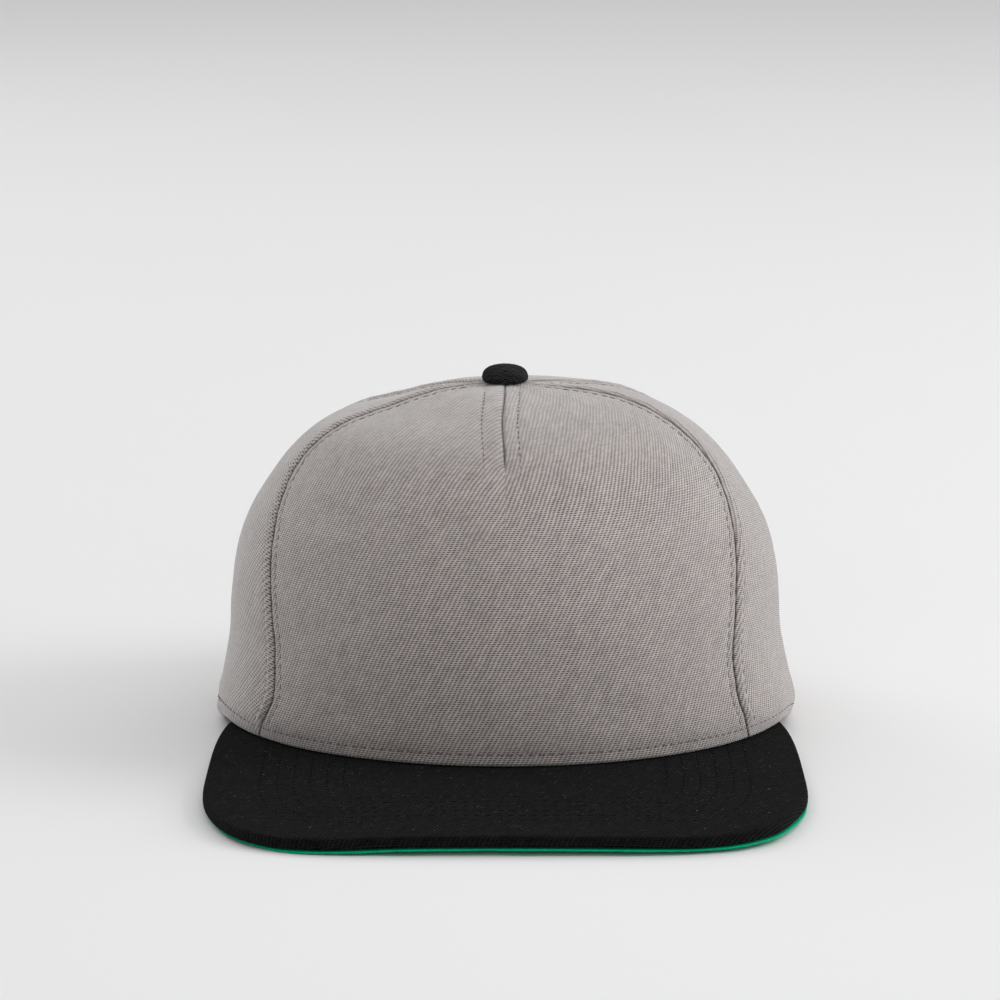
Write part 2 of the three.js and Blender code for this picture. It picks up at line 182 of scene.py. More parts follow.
# Dart: a fold whose cloth is turned on its right
DART_REACH = 66
DART_BEND = (-0.9, 42, 17)  # how far to the right, at which radius, and its spread
DART_FORMS = ((-0.8, 0, 0.32), (0.3, -2.4, 1.7), (0.12, 2.2, 1.4))  # height, place across, spread
DART_END = (0.4, 2.6, 4.5)  # the dent at its lower end: depth, width, length
DART_TURN = 0.38
DART_TURN_LEFT = 0.038
DART_PULL = 0.25
DART_TURN_BELOW = 30
DART_TURN_EASE = 44
TURN_REACH = 22  # the dart turns the cloth less and less further out than this

# Grain of the side panels, by hand
SIDE_GRAIN = {1: math.radians(-4), -1: math.radians(-14)}
SIDE_WEAVE = {1: 1.0, -1: 0.8}  # the weave shows wider on the left

# Sweatband and closing strap
BAND_HEIGHT = 30
BAND_END = math.radians(141)
BAND_EDGE = 0.6
STRAP_WALL = 1.3
STRAP_EDGE = 0.4
STRAP_HEIGHT = 18
STRAP_END = math.radians(142.5)
STRAP_FOOT = 1.2
SNAP_COUNT = 7
SNAP_PITCH = 9.5
SNAP_RADIUS = 2.1


def smooth_step(value):
    held = np.clip(value, 0, 1)
    return held * held * (3 - 2 * held)


def ramp(value, low, high):
    """0 up to the low value, 1 from the high one, and smooth between."""
    return smooth_step((value - low) / (high - low))


def hump(distance, width):
    return np.exp(-((distance / width) ** 2))


def row_value(name, level):
    """One column of the crown's table at any level, on a smooth curve through its rows."""
    column = CROWN_ROWS[:, CROWN_COLUMNS.index(name)]
    before = 2 * column[0] - column[1]
    after = column[-2] if name == "height" else 2 * column[-1] - column[-2]
    padded = np.concatenate(([before], column, [after]))
    low = np.clip(np.floor(level).astype(int), 0, APEX - 1)
    a, b, c, d = (padded[low + step] for step in range(4))
    s = level - low
    return b + 0.5 * s * (c - a + s * (2 * a - 5 * b + 4 * c - d + s * (3 * (b - c) + d - a)))


FINE_LEVELS = np.linspace(0, APEX, 2600)
FINE_HEIGHTS = row_value("height", FINE_LEVELS)


def level_at(height):
    return np.interp(height, FINE_HEIGHTS, FINE_LEVELS)


def outer_radius(angle, level):
    facing = np.where(np.cos(angle) > 0, row_value("front", level), row_value("back", level))
    return 1 / np.hypot(np.cos(angle) / facing, np.sin(angle) / row_value("side", level))


def on_circle(angle, radius, height):
    return np.stack(np.broadcast_arrays(radius * np.sin(angle), -radius * np.cos(angle), height), -1)


def brim_underside(x, y):
    """The brim's outer edge lies on the table, and its middle climbs to the crown."""
    across = np.abs(x) / BRIM_HALF_WIDTH
    back = np.clip((y + BRIM_FRONT) / (BRIM_FRONT - CROWN_ROWS[0][1]), 0, 1)
    front = BRIM_FRONT_LIFT * np.maximum(0, 1 - 2 * across**2)
    return front + BRIM_CROWN_LIFT * back * np.maximum(0, 1 - across**6)


def brim_under_rim(angle):
    rim = on_circle(angle, outer_radius(angle, np.zeros_like(angle)), 0)
    behind = ramp(np.abs(angle), HEM_RISE_FROM, HEM_RISE_TO)
    return brim_underside(rim[..., 0], np.minimum(rim[..., 1], 0)), 1 - behind


def rim_height(angle):
    """The rim lies on top of the brim in front and on the table behind it."""
    turned = (angle + math.pi) % (2 * math.pi) - math.pi
    height, share = brim_under_rim(turned)
    return share * (height + BRIM_THICKNESS + PIECE_GAP)


def crown_point(angle, level):
    height = row_value("height", level)
    radius = outer_radius(angle, level)
    lift = rim_height(angle) * (1 - height / CROWN_HEIGHT)
    slope = np.where(angle > 0, *SHOULDER_SLOPE)
    lean = slope * np.sin(angle) * hump(radius - SHOULDER_RADIUS, SHOULDER_SPREAD)
    left = np.maximum(0, -np.sin(angle)) ** 4
    drawn_in = LEFT_HOLLOW * left * hump(height - LEFT_HOLLOW_HEIGHT, LEFT_HOLLOW_SPREAD)
    return on_circle(angle, radius - drawn_in, height + lift + lean)


def seam_direction(name, level, hand):
    """Where a seam runs, round from the front. The two front seams differ a little."""
    degrees = row_value(name, level)
    height = row_value("height", level)
    if name == "front_seam":
        left = sum(turn * hump(height - middle, width) for turn, middle, width in LEFT_SWINGS)
        right = RIGHT_SWING * (1 - ramp(height, *RIGHT_SWING_HEIGHTS))
        degrees = degrees + np.where(np.asarray(hand) < 0, left, right)
    wobble = SEAM_WOBBLE * np.sin(0.5 * height + 0.9 * hand) * np.sin(0.17 * height + 2 * hand)
    return np.radians(degrees + wobble)


def hem_row(angle):
    """How far the stitches over the hem run from its edge: further up on the left side."""
    beside = ramp(np.abs(np.sin(angle)), 0.8, 1)
    return HEM_ROW + np.where(angle < 0, *HEM_ROW_RISES) * beside


def crown_normal(angle, level):
    step = 0.01
    ahead = crown_point(angle + step, level) - crown_point(angle - step, level)
    above = crown_point(angle, level + step) - crown_point(angle, level - step)
    normal = np.cross(ahead, above)
    return normal / np.linalg.norm(normal, axis=-1, keepdims=True)


def climb(angle, level):
    """How far up the cloth a level lies from the rim, in the given direction."""
    levels = np.linspace(0, TOP_LEVEL, 400)
    path = crown_point(np.full_like(levels, angle), levels)
    steps = np.linalg.norm(np.diff(path, axis=0), axis=-1)
    return np.interp(level, levels, np.concatenate(([0], np.cumsum(steps))))


# Relief of the cloth: how far it stands proud at a distance from a seam, the dart or an edge


def seam_relief(distance, ridge, row, height, depth=SEAM_DEPTH):
    """The folded edges under a seam end above the hem."""
    over_hem = ramp(height, *SEAM_FOOT)
    groove = -depth * hump(distance, SEAM_WIDTH)
    roll = ridge * hump(distance - 0.5 * row, 0.36 * row)
    pulled = -SEAM_PULL * hump(distance - row, 0.6)
    return groove + (roll + pulled) * over_hem


def hem_relief(distance, row):
    """The cloth folded under at the hem stands out below its stitches."""
    edge = -HEM_EDGE * hump(distance, 0.45)
    flare = HEM_FLARE * smooth_step(1.15 - distance / row)
    pulled = -0.1 * (row - HEM_ROW + 0.6) * hump(distance - row, 0.7)
    return edge + flare + pulled


def side_dimple(angle, height):
    """A small dent over the hem on the left, with the hem bulging under it."""
    beside = hump(angle - DIMPLE_AT, DIMPLE_WIDTH)
    return beside * sum(rise * hump(height - middle, width) for rise, middle, width in DIMPLE_FORMS)


def painted_groove_shade(distance, width=PAINTED_SHADE_WIDTH):
    """How much darker the cloth's colour is painted down in a seam: painted shade."""
    return hump(distance, width)


def dart_bend(radius):
    """The dart bends a little to the left on its way down."""
    bend, middle, width = DART_BEND
    return bend * hump(radius - middle, width)


def dart_relief(across, radius):
    """The dart runs from the button down the middle of the front panel."""
    share = 1 - ramp(radius, DART_REACH - 6, DART_REACH + 3)
    fold = sum(height * hump(across - place, width) for height, place, width in DART_FORMS)
    rows = sum(-DART_PULL * hump(across - row, 0.7) for row in DART_ROWS)
    depth, width, length = DART_END
    return share * (fold + rows) - depth * hump(across, width) * hump(radius - DART_REACH, length)


def dart_share(radius):
    return 1 - ramp(radius, DART_REACH - 3, DART_REACH + 1)


def ripple(angle, level):
    """Slow unevenness of steamed cloth over its stiff backing."""
    height = row_value("height", level)
    total = np.zeros_like(height)
    for depth, turn, rise, start, other_turn, other_rise, other_start in RIPPLES:
        wave = np.sin(turn * angle + rise * height + start)
        crossing = np.sin(other_turn * angle + other_rise * height + other_start)
        total = total + depth * wave * crossing
    return total


def pucker(along, distance, length=6.8, depth=0.11, reach=4.5):
    """Small gathers that the stitches pull across a seam. Each seam starts them elsewhere."""
    wave = np.sin(2 * math.pi * along / length) * np.sin(2 * math.pi * along / (2.7 * length) + 0.8)
    return depth * wave * hump(distance - 1.5, reach)


def between_seams(spot, width, climbed, height, fore, aft):
    """Relief and painted shade of a panel between two seams: ridge, depth and start of the gathers of each.
    """
    rows = (SEAM_ROW_SIDE, SEAM_ROW_FRONT)
    edges = tuple(zip((spot, width - spot), rows, (fore, aft)))
    proud = sum(
        seam_relief(distance, ridge, row, height, depth) + pucker(climbed + start, distance)
        for distance, row, (ridge, depth, start) in edges
    )
    return proud, np.maximum(*(painted_groove_shade(distance) for distance, _, _ in edges))


# Grids of cloth


def set_in_place(points):
    """Points round the crown's axis in millimetres, as places in the frame in metres."""
    return points * MM + np.array((AXIS.x, AXIS.y, 0))


def flat_block(columns, rows):
    """A closed flat block: a grid with a copy below it. Its mesh is bent to shape afterwards."""
    block = bmesh.new()
    bmesh.ops.create_grid(block, x_segments=columns, y_segments=rows, size=0.5)
    below = bmesh.ops.extrude_face_region(block, geom=block.faces[:], use_keep_orig=True)
    moved = [item for item in below["geom"] if isinstance(item, bmesh.types.BMVert)]
    bmesh.ops.translate(block, verts=moved, vec=(0, 0, -1))
    bmesh.ops.recalc_face_normals(block, faces=block.faces[:])
    return block


def close_ends(mesh):
    """Merges a wrapped strip's first and last rows and fills its two ends."""
    shape = bmesh.new()
    shape.from_mesh(mesh)
    bmesh.ops.remove_doubles(shape, verts=shape.verts[:], dist=1e-6)
    open_edges = [edge for edge in shape.edges if edge.is_boundary]
    bmesh.ops.holes_fill(shape, edges=open_edges, sides=0)
    bmesh.ops.recalc_face_normals(shape, faces=shape.faces[:])
    shape.to_mesh(mesh)
    shape.free()


def mesh_of(shape, name):
    mesh = bpy.data.meshes.new(name)
    shape.to_mesh(mesh)
    shape.free()
    return mesh


def read_points(mesh):
    flat = np.empty(3 * len(mesh.vertices))
    mesh.vertices.foreach_get("co", flat)
    return flat.reshape(-1, 3)


def flat_strip(name, columns, rows):
    """A grid to wrap round a cut, with each point's share of the length and its row."""
    strip = bmesh.new()
    bmesh.ops.create_grid(strip, x_segments=columns, y_segments=rows, size=0.5)
    mesh = mesh_of(strip, name)
    flat = read_points(mesh)
    return mesh, flat[:, 0] + 0.5, np.rint((flat[:, 1] + 0.5) * rows).astype(int)


def write_points(mesh, points):
    mesh.vertices.foreach_set("co", np.ascontiguousarray(points, dtype=np.float64).ravel())
    mesh.update()


def write_cloth(mesh, across, up, shade=0):
    """Where each point lies on the flat cloth, in millimetres, for the weave to follow, and how much
    painted shade darkens it.
    """
    values = np.stack(np.broadcast_arrays(across, up, shade), -1).astype(np.float32)
    attribute = mesh.attributes.new("cloth", "FLOAT_VECTOR", "POINT")
    attribute.data.foreach_set("vector", np.ascontiguousarray(values).ravel())


def add_piece(mesh, material, replaced=()):
    piece = bpy.data.objects.new(mesh.name, mesh)
    bpy.context.scene.collection.objects.link(piece)
    mesh.materials.append(material)
    mesh.shade_smooth()
    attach(piece, "root")
    if replaced:
        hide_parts(*replaced)


def spread(share, length, near_end=SEAM_ZONE, end_share=SEAM_COLUMNS):
    """Distance along a length for a column's share, with close columns near either end."""
    squeeze = np.minimum(1, length / (2.4 * SEAM_ZONE))
    first = SEAM_ZONE * squeeze
    last = length - near_end * squeeze
    rise = first * (np.minimum(share, SEAM_COLUMNS) / SEAM_COLUMNS) ** 1.5
    fall = length - near_end * squeeze * (np.minimum(1 - share, end_share) / end_share) ** 1.5
    between = first + (last - first) * (share - SEAM_COLUMNS) / (1 - SEAM_COLUMNS - end_share)
    spot = np.where(share < SEAM_COLUMNS, rise, np.where(share > 1 - end_share, fall, between))
    return spot, squeeze


def panel_levels(share, start_level, hem_share=0.12, hem_height=6.0):
    """Levels up a panel: close rows at its lower edge, then even ones to the hole at the top."""
    foot = row_value("height", start_level)
    hem_top = level_at(foot + hem_height)
    low = level_at(foot + hem_height * share / hem_share)
    high = hem_top + (TOP_LEVEL - hem_top) * (share - hem_share) / (1 - hem_share)
    return np.where(share < hem_share, np.maximum(low, start_level), high)


def shape_panel(name, columns, rows, chart):
    """A panel of the crown. chart gives each point's angle, level, relief, place on the cloth and painted
    shade.
    """
    mesh = mesh_of(flat_block(columns, rows), name)
    flat = read_points(mesh)
    share = flat[:, 0] + 0.5
    up = flat[:, 1] + 0.5
    inside = flat[:, 2] < -0.5
    angle, level, proud, across, climbed, shade = chart(share, up)
    cloth = crown_point(angle, level)
    normal = crown_normal(angle, level)
    points = cloth + normal * np.where(inside, -WALL, proud)[:, None]
    lowest = up < 1e-5
    points[lowest, 2] = cloth[lowest, 2]
    points[:, 2] = np.maximum(points[:, 2], np.minimum(cloth[:, 2], rim_height(angle)))
    write_points(mesh, set_in_place(points))
    # the third value is the painted shade of the grooves, none on the inner face
    write_cloth(mesh, across, climbed, np.where(inside, 0, shade))
    add_piece(mesh, grey_twill.material, [name.removesuffix("_cloth")])


def front_chart(share, up):
    level = panel_levels(up, np.zeros_like(up))
    side = np.sign(share - 0.5)
    half = seam_direction("front_seam", level, side)
    radius = outer_radius(np.zeros_like(level), level)
    half_width = half * radius
    from_seam_share = 1 - 2 * np.abs(share - 0.5)
    from_seam, squeeze = spread(from_seam_share, half_width - PIECE_GAP / 2, DART_ZONE, DART_COLUMNS)
    from_seam = from_seam + PIECE_GAP / 2
    angle = side * half * (1 - from_seam / half_width)
    climbed = climb(0, level)
    across = side * (half_width - from_seam)
    height = row_value("height", level)
    proud = squeeze * seam_relief(from_seam, FRONT_RIDGE, SEAM_ROW_FRONT, height)
    proud = proud + squeeze * pucker(climbed + 3 * side, from_seam)
    proud = proud + hem_relief(height, hem_row(angle))
    beside = across - dart_bend(radius)
    proud = proud + np.minimum(1, squeeze) * dart_relief(beside, radius)
    proud = proud + pucker(climbed, np.abs(across), 5.6, 0.1, 5) * (radius < DART_REACH + 4)
    proud = proud + ripple(angle, level)
    sewn = dart_share(radius)
    # painted shade down the dart's groove and the seams, which darkens the cloth's colour
    dart_painted_shade = sewn * painted_groove_shade(beside, 0.12 + 0.2 * radius / DART_REACH)
    shade = np.maximum(painted_groove_shade(from_seam), dart_painted_shade)
    turn, turned = dart_turn(climbed, side)
    strip = 0.6 * sewn * np.clip(across - DART_ROWS[0], 0, -DART_ROWS[0]) * (across < 0)
    drawn = TURN_REACH * (1 - np.exp(-np.abs(across) / TURN_REACH))
    cloth_up = climbed - drawn * turn + strip
    return angle, level, proud, across + side * turned, cloth_up, shade


def dart_turn(climbed, side):
    """The dart turns the cloth on its right: by how much, and how far it moves the cloth across."""
    most = np.where(side > 0, DART_TURN, DART_TURN_LEFT)
    past = np.maximum(0, climbed - climb(0, level_of_radius(DART_REACH)) + DART_TURN_BELOW)
    easing = past**2 / (2 * DART_TURN_EASE)
    turned = np.where(past < DART_TURN_EASE, easing, past - DART_TURN_EASE / 2)
    return most * smooth_step(past / DART_TURN_EASE), most * turned


def level_of_radius(radius):
    """The level on the crown's upper part where the front stands that far from the axis."""
    fronts = row_value("front", FINE_LEVELS)
    falling = slice(int(np.argmax(fronts)), None)
    return np.interp(radius, fronts[falling][::-1], FINE_LEVELS[falling][::-1])


def side_chart(hand):
    """The chart of the side panel on the right, hand 1, or on the left, hand -1."""
    def chart(share, up):
        level = panel_levels(up, np.zeros_like(up))
        start = seam_direction("front_seam", level, hand)
        end = seam_direction("rear_seam", level, hand)
        middle = (start + end) / 2
        width = (end - start) * outer_radius(middle, level)
        column = share if hand > 0 else 1 - share
        spot, squeeze = spread(column, width - PIECE_GAP)
        spot = spot + PIECE_GAP / 2
        angle = hand * (start + (end - start) * spot / width)
        climbed = climb(math.radians(85), level)
        height = row_value("height", level)
        fore = (ROLLED_RIDGE, ROLLED_DEPTH, 2 * hand)
        aft = (REAR_RIDGE, SEAM_DEPTH, 5 * hand)
        sewn, shade = between_seams(spot, width, climbed, height, fore, aft)
        proud = squeeze * sewn + hem_relief(height, hem_row(angle)) + ripple(angle, level)
        proud = proud + side_dimple(angle, height)
        scale = SIDE_WEAVE[hand]
        beside = hand * (spot - width / 2)
        across, up_cloth = turned_cloth(scale * beside, scale * climbed, SIDE_GRAIN[hand])
        return angle, level, proud, across, up_cloth, shade
    return chart


def turned_cloth(across, up, turn):
    """The place on a cloth whose grain is turned."""
    return across * math.cos(turn) + up * math.sin(turn), up * math.cos(turn) - across * math.sin(turn)


def back_edge(across):
    """The lower edge of a back panel: along the rim, then up the half-moon's curve."""
    rim_radius = CROWN_ROWS[0][3]
    seam = math.radians(CROWN_ROWS[0][5])
    foot = math.pi - ARCH_HALF_WIDTH / rim_radius
    rim_length = (foot - seam) * rim_radius
    arch_length = (math.pi / 4) * (ARCH_HALF_WIDTH + ARCH_HEIGHT)
    foot_across = rim_length / (rim_length + arch_length)
    turn = np.clip((across - foot_across) / (1 - foot_across), 0, 1) * (math.pi / 2)
    on_rim = seam + (foot - seam) * across / foot_across
    on_arch = math.pi - ARCH_HALF_WIDTH * np.cos(turn) / rim_radius
    return np.where(across <= foot_across, on_rim, on_arch), ARCH_HEIGHT * np.sin(turn)


def arch_distance(angle, height):
    """How far a point of the back lies outside the half-moon's edge."""
    rim_radius = CROWN_ROWS[0][3]
    beside = (math.pi - np.abs(angle)) * rim_radius
    mean = (ARCH_HALF_WIDTH + ARCH_HEIGHT) / 2
    return (np.hypot(beside / ARCH_HALF_WIDTH, height / ARCH_HEIGHT) - 1) * mean


def back_chart(hand):
    """The chart of the back panel on the right, hand 1, or on the left, hand -1."""
    settled = 0.55

    def chart(share, up):
        column = share if hand > 0 else 1 - share
        full = (math.pi - math.radians(CROWN_ROWS[0][5])) * CROWN_ROWS[0][3]
        placed, _ = spread(column, full)
        edge_angle, edge_height = back_edge(placed / full)
        start_level = level_at(edge_height)
        level = panel_levels(up, start_level)
        start = np.radians(row_value("rear_seam", level))
        width = (math.pi - start) * outer_radius(np.full_like(level, math.pi), level)
        even, squeeze = spread(column, width - PIECE_GAP)
        edge_start = np.radians(row_value("rear_seam", start_level))
        edge_share = (edge_angle - edge_start) / (math.pi - edge_start)
        rise = smooth_step((level - start_level) / (TOP_LEVEL - start_level) / settled)
        blended = edge_share + (even / (width - PIECE_GAP) - edge_share) * rise
        spot = blended * (width - PIECE_GAP) + PIECE_GAP / 2
        angle = hand * (start + (math.pi - start) * spot / width)
        climbed = climb(math.pi, level)
        height = row_value("height", level)
        fore = (BACK_RIDGE, SEAM_DEPTH, hand)
        aft = (MIDDLE_RIDGE, SEAM_DEPTH, 0)
        sewn, shade = between_seams(spot, width, climbed, height, fore, aft)
        from_hem = np.minimum(height, np.maximum(arch_distance(angle, height), 0))
        proud = squeeze * sewn + hem_relief(from_hem, hem_row(angle)) + ripple(angle, level)
        return angle, level, proud, hand * (spot - width / 2), climbed, shade
    return chart


# Materials


class Signal:
    """A value in a material, so that its sums read as plain arithmetic."""

    def __init__(self, finish, socket):
        self.finish = finish
        self.socket = socket

    def math(self, operation, *others):
        return self.finish.node("ShaderNodeMath", {"operation": operation}, [self, *others])

    def __add__(self, other):
        return self.math("ADD", other)

    __radd__ = __add__

    def __mul__(self, other):
        return self.math("MULTIPLY", other)

    __rmul__ = __mul__

    def __sub__(self, other):
        return self.math("SUBTRACT", other)

    def __rsub__(self, other):
        return self.finish.node("ShaderNodeMath", {"operation": "SUBTRACT"}, [other, self])

    def __truediv__(self, other):
        return self.math("DIVIDE", other)

    def wave(self):
        """1 where the value is whole and 0 halfway between."""
        return (self * (2 * math.pi)).math("COSINE") * 0.5 + 0.5

    def floor(self):
        return self.math("FLOOR")

    def steps(self, low, high):
        """0 up to the low value, 1 from the high one, and smooth between."""
        settings = {"interpolation_type": "SMOOTHSTEP"}
        return self.finish.node("ShaderNodeMapRange", settings, {0: self, 1: low, 2: high, 3: 0.0, 4: 1.0})


class Finish:
    """One material and the nodes behind its shader."""

    def __init__(self, name, constants):
        self.material = bpy.data.materials.new(name)
        self.material.use_nodes = True
        self.tree = self.material.node_tree
        self.shader = self.tree.nodes["Principled BSDF"]
        for socket, value in constants.items():
            self.shader.inputs[socket].default_value = value

    def node(self, kind, settings=None, inputs=(), output=0):
        node = self.tree.nodes.new(kind)
        for key, value in (settings or {}).items():
            setattr(node, key, value)
        pairs = inputs.items() if isinstance(inputs, dict) else enumerate(inputs)
        for key, value in pairs:
            self.feed(node.inputs[key], value)
        return Signal(self, node.outputs[output])

    def feed(self, socket, value):
        if isinstance(value, Signal):
            self.tree.links.new(value.socket, socket)
        else:
            socket.default_value = value

    def set(self, name, value):
        self.feed(self.shader.inputs[name], value)

    def cloth(self):
        """The place on the flat cloth, across and up, in millimetres, and the painted shade of its grooves.
        """
        place = self.node("ShaderNodeAttribute", {"attribute_name": "cloth"}, output="Vector")
        return [self.node("ShaderNodeSeparateXYZ", inputs=[place], output=axis) for axis in (0, 1, 2)]

    def point(self, x, y, z=0.0):
        return self.node("ShaderNodeCombineXYZ", inputs=[x, y, z])

    def noise(self, place, scale, detail=2.0, roughness=0.5):
        inputs = {"Vector": place, "Scale": scale, "Detail": detail, "Roughness": roughness}
        return self.node("ShaderNodeTexNoise", inputs=inputs)

    def tint(self, share, first, second):
        """A colour between two others."""
        inputs = {0: share, 6: first, 7: second}
        return self.node("ShaderNodeMix", {"data_type": "RGBA"}, inputs, output=2)

    def bump(self, height, distance, strength=1.0):
        inputs = {"Strength": strength, "Distance": distance, "Height": height}
        self.set("Normal", self.node("ShaderNodeBump", inputs=inputs))


def colour(red, green, blue):
    return (red, green, blue, 1.0)


ROWS_FADE = (66, 98)  # up the cloth, the level rows and then the whole weave show less
WEAVE_FADE = (78, 108)


def twill_finish(name, dark, light, pitch, dash, lean, streak, constants, relief=0.12):
    """Twill: ribs that lean by an angle from level, crossed by level rows a dash apart, with painted shade
    in its grooves.
    """
    finish = Finish(name, constants)
    across, up, shade = finish.cloth()
    place = finish.point(across, up)
    wander = finish.noise(place, 0.11, 1.0) * 0.8 + finish.noise(place, 0.9, 1.0) * 0.25
    slope = math.radians(lean)
    rib = (across * math.sin(slope) - up * math.cos(slope)) / pitch + wander
    row = up / dash + wander * 0.5
    upper = up.steps(*ROWS_FADE)
    plain = 1 - up.steps(*WEAVE_FADE) * 0.5
    crest = rib.wave() - 0.5
    beat = (row.wave() - 0.5) * (1 - upper * 0.8)
    cell = finish.point((rib + 0.5).floor(), (row + 0.5).floor())
    chance = finish.node("ShaderNodeTexWhiteNoise", {"noise_dimensions": "2D"}, {"Vector": cell}) - 0.5
    slub = finish.noise(finish.point(rib * 0.5, row * 0.09), 1.0, 2.0, 0.5) - 0.5
    patch = finish.noise(place, 0.045, 2.0, 0.5) - 0.5
    fibre = finish.noise(place, 3.0, 2.0, 0.7) - 0.5
    weave = (crest * (upper * 0.08 + 0.5) + beat * 0.72 - crest * beat * 1.25) * plain
    tone = weave + chance * (0.5 * streak) + slub * streak + patch * 0.14 + fibre * 0.3 + 0.5
    woven = finish.tint(tone, dark, light)
    # painted shade: the cloth's colour is darkened down in the seams and the dart
    painted_shade_colour = tuple(0.25 * value for value in dark[:3]) + (1.0,)
    finish.set("Base Color", finish.tint(shade * 0.85, woven, painted_shade_colour))
    finish.bump(crest * 0.7 + beat * 0.5 - crest * beat * 0.9 + fibre * 0.3, relief * pitch * MM)
    return finish


def thread_finish(name, tone, constants):
    """Twisted sewing thread."""
    finish = Finish(name, constants)
    place = finish.node("ShaderNodeTexCoord", output="Object")
    fleck = finish.noise(place, 2600.0, 1.0)
    shade = tuple(0.7 * value for value in tone[:3]) + (1.0,)
    finish.set("Base Color", finish.tint(fleck, shade, tone))
    finish.bump(fleck, 0.05 * MM, 0.6)
    return finish


def band_finish():
    """Brushed cotton, plainly woven."""
    finish = Finish("black_band_cloth", SOFT_CLOTH)
    across, up, _ = finish.cloth()
    place = finish.point(across, up)
    thread = (across / 0.45).wave() * (up / 0.45).wave()
    nap = finish.noise(place, 2.2, 3.0, 0.7)
    tone = (thread * 0.4 + nap * 0.6).steps(0.1, 0.9)
    finish.set("Base Color", finish.tint(tone, colour(0.008, 0.008, 0.009), colour(0.024, 0.024, 0.026)))
    finish.bump(thread * 0.6 + nap * 0.4, 0.07 * MM)
    return finish


def plastic_finish():
    """Moulded plastic with a fine grain and slight flow marks."""
    finish = Finish("black_plastic", {"Specular IOR Level": 0.45})
    place = finish.node("ShaderNodeTexCoord", output="Object")
    grain = finish.noise(place, 1900.0, 2.0, 0.6)
    flow = finish.noise(place, 60.0, 2.0)
    finish.set("Base Color", finish.tint(flow, colour(0.008, 0.008, 0.009), colour(0.014, 0.014, 0.015)))
    finish.set("Roughness", grain * 0.16 + flow * 0.12 + 0.32)
    finish.bump(grain, 0.02 * MM, 0.5)
    return finish


SOFT_CLOTH = {"Roughness": 0.95, "Specular IOR Level": 0.12}
DULL_CLOTH = {"Roughness": 1.0, "Specular IOR Level": 0.05}

grey_twill = twill_finish(
    "grey_twill", colour(0.075, 0.0652, 0.0615), colour(0.634, 0.562, 0.539),
    pitch=1.25, dash=0.655, lean=63, streak=0.34,
    constants={**SOFT_CLOTH, "Sheen Weight": 0.75, "Sheen Roughness": 0.5},
)
black_twill = twill_finish(
    "black_twill", colour(0.0005, 0.0005, 0.0005), colour(0.0125, 0.0125, 0.0126),
    pitch=1.25, dash=0.655, lean=63, streak=0.9,
    constants={**DULL_CLOTH, "Sheen Weight": 0.02}, relief=0.45,
)
button_twill = twill_finish(
    "button_twill", colour(0.0008, 0.0008, 0.0008), colour(0.042, 0.042, 0.0425),
    pitch=0.95, dash=0.655, lean=14, streak=0.8,
    constants=DULL_CLOTH,
)
green_twill = twill_finish(
    "green_twill", colour(0.0, 0.22, 0.1), colour(0.0, 0.56, 0.285),
    pitch=0.8, dash=0.5, lean=60, streak=0.4,
    constants=SOFT_CLOTH,
)
grey_thread = thread_finish("grey_thread", colour(0.23, 0.207, 0.195), SOFT_CLOTH)
black_thread = thread_finish("black_thread", colour(0.003, 0.003, 0.003), DULL_CLOTH)
lint_thread = thread_finish("lint_thread", colour(0.32, 0.31, 0.3), SOFT_CLOTH)
fibre_thread = thread_finish("fibre_thread", colour(0.115, 0.115, 0.115), SOFT_CLOTH)
band_cloth = band_finish()
plastic = plastic_finish()


# Crown

shape_panel("front_panel_cloth", 190, 136, front_chart)
for word, hand in (("right", 1), ("left", -1)):
    shape_panel(f"side_panel_{word}_cloth", 104, 136, side_chart(hand))
    shape_panel(f"back_panel_{word}_cloth", 96, 124, back_chart(hand))


# Stitches: each is a small bead drawn out along its row


def add_stitch(shape, middle, along, normal, length, width, height):
    side = normal.cross(along).normalized()
    turn = Matrix((along, side, normal)).transposed().to_4x4()
    sized = Matrix.Diagonal((length / 2, width / 2, height / 2, 1))
    matrix = Matrix.Translation(middle) @ turn @ sized
    bmesh.ops.create_uvsphere(shape, u_segments=6, v_segments=4, radius=1, matrix=matrix)


def stitch_row(rows, points, normals, pitch=3.1, length=2.1, width=0.38, height=0.34):
    """Stitches at an even pitch along a path of close points, with a little irregularity."""
    shape = bmesh.new()
    steps = np.linalg.norm(np.diff(points, axis=0), axis=-1)
    lengths = np.concatenate(([0], np.cumsum(steps)))
    count = int(lengths[-1] / pitch)
    for number in range(count):
        at = (number + 0.5) * lengths[-1] / count + random.uniform(-0.12, 0.12)
        spot, before, after = (
            np.array([np.interp(place, lengths, points[:, axis]) for axis in range(3)])
            for place in (at, at - length / 2, at + length / 2)
        )
        normal = Vector([np.interp(at, lengths, normals[:, axis]) for axis in range(3)]).normalized()
        along = Vector(after - before).normalized()
        along = (along - normal * along.dot(normal)).normalized()
        size = length * random.uniform(0.92, 1.06)
        middle = Vector(set_in_place(spot))
        add_stitch(shape, middle, along, normal, size * MM, width * MM, height * MM)
    rows.append(mesh_of(shape, "stitch_row"))


def joined(rows, name):
    """The rows of stitches as one mesh."""
    shape = bmesh.new()
    for row in rows:
        shape.from_mesh(row)
        bpy.data.meshes.remove(row)
    return mesh_of(shape, name)


def crown_row(rows, angle, level, proud, **sizes):
    """A row of stitches on the crown along close points of angle and level."""
    normals = crown_normal(angle, level)
    lifted = crown_point(angle, level) + normals * (proud + ripple(angle, level))[:, None]
    stitch_row(rows, lifted, normals, **sizes)


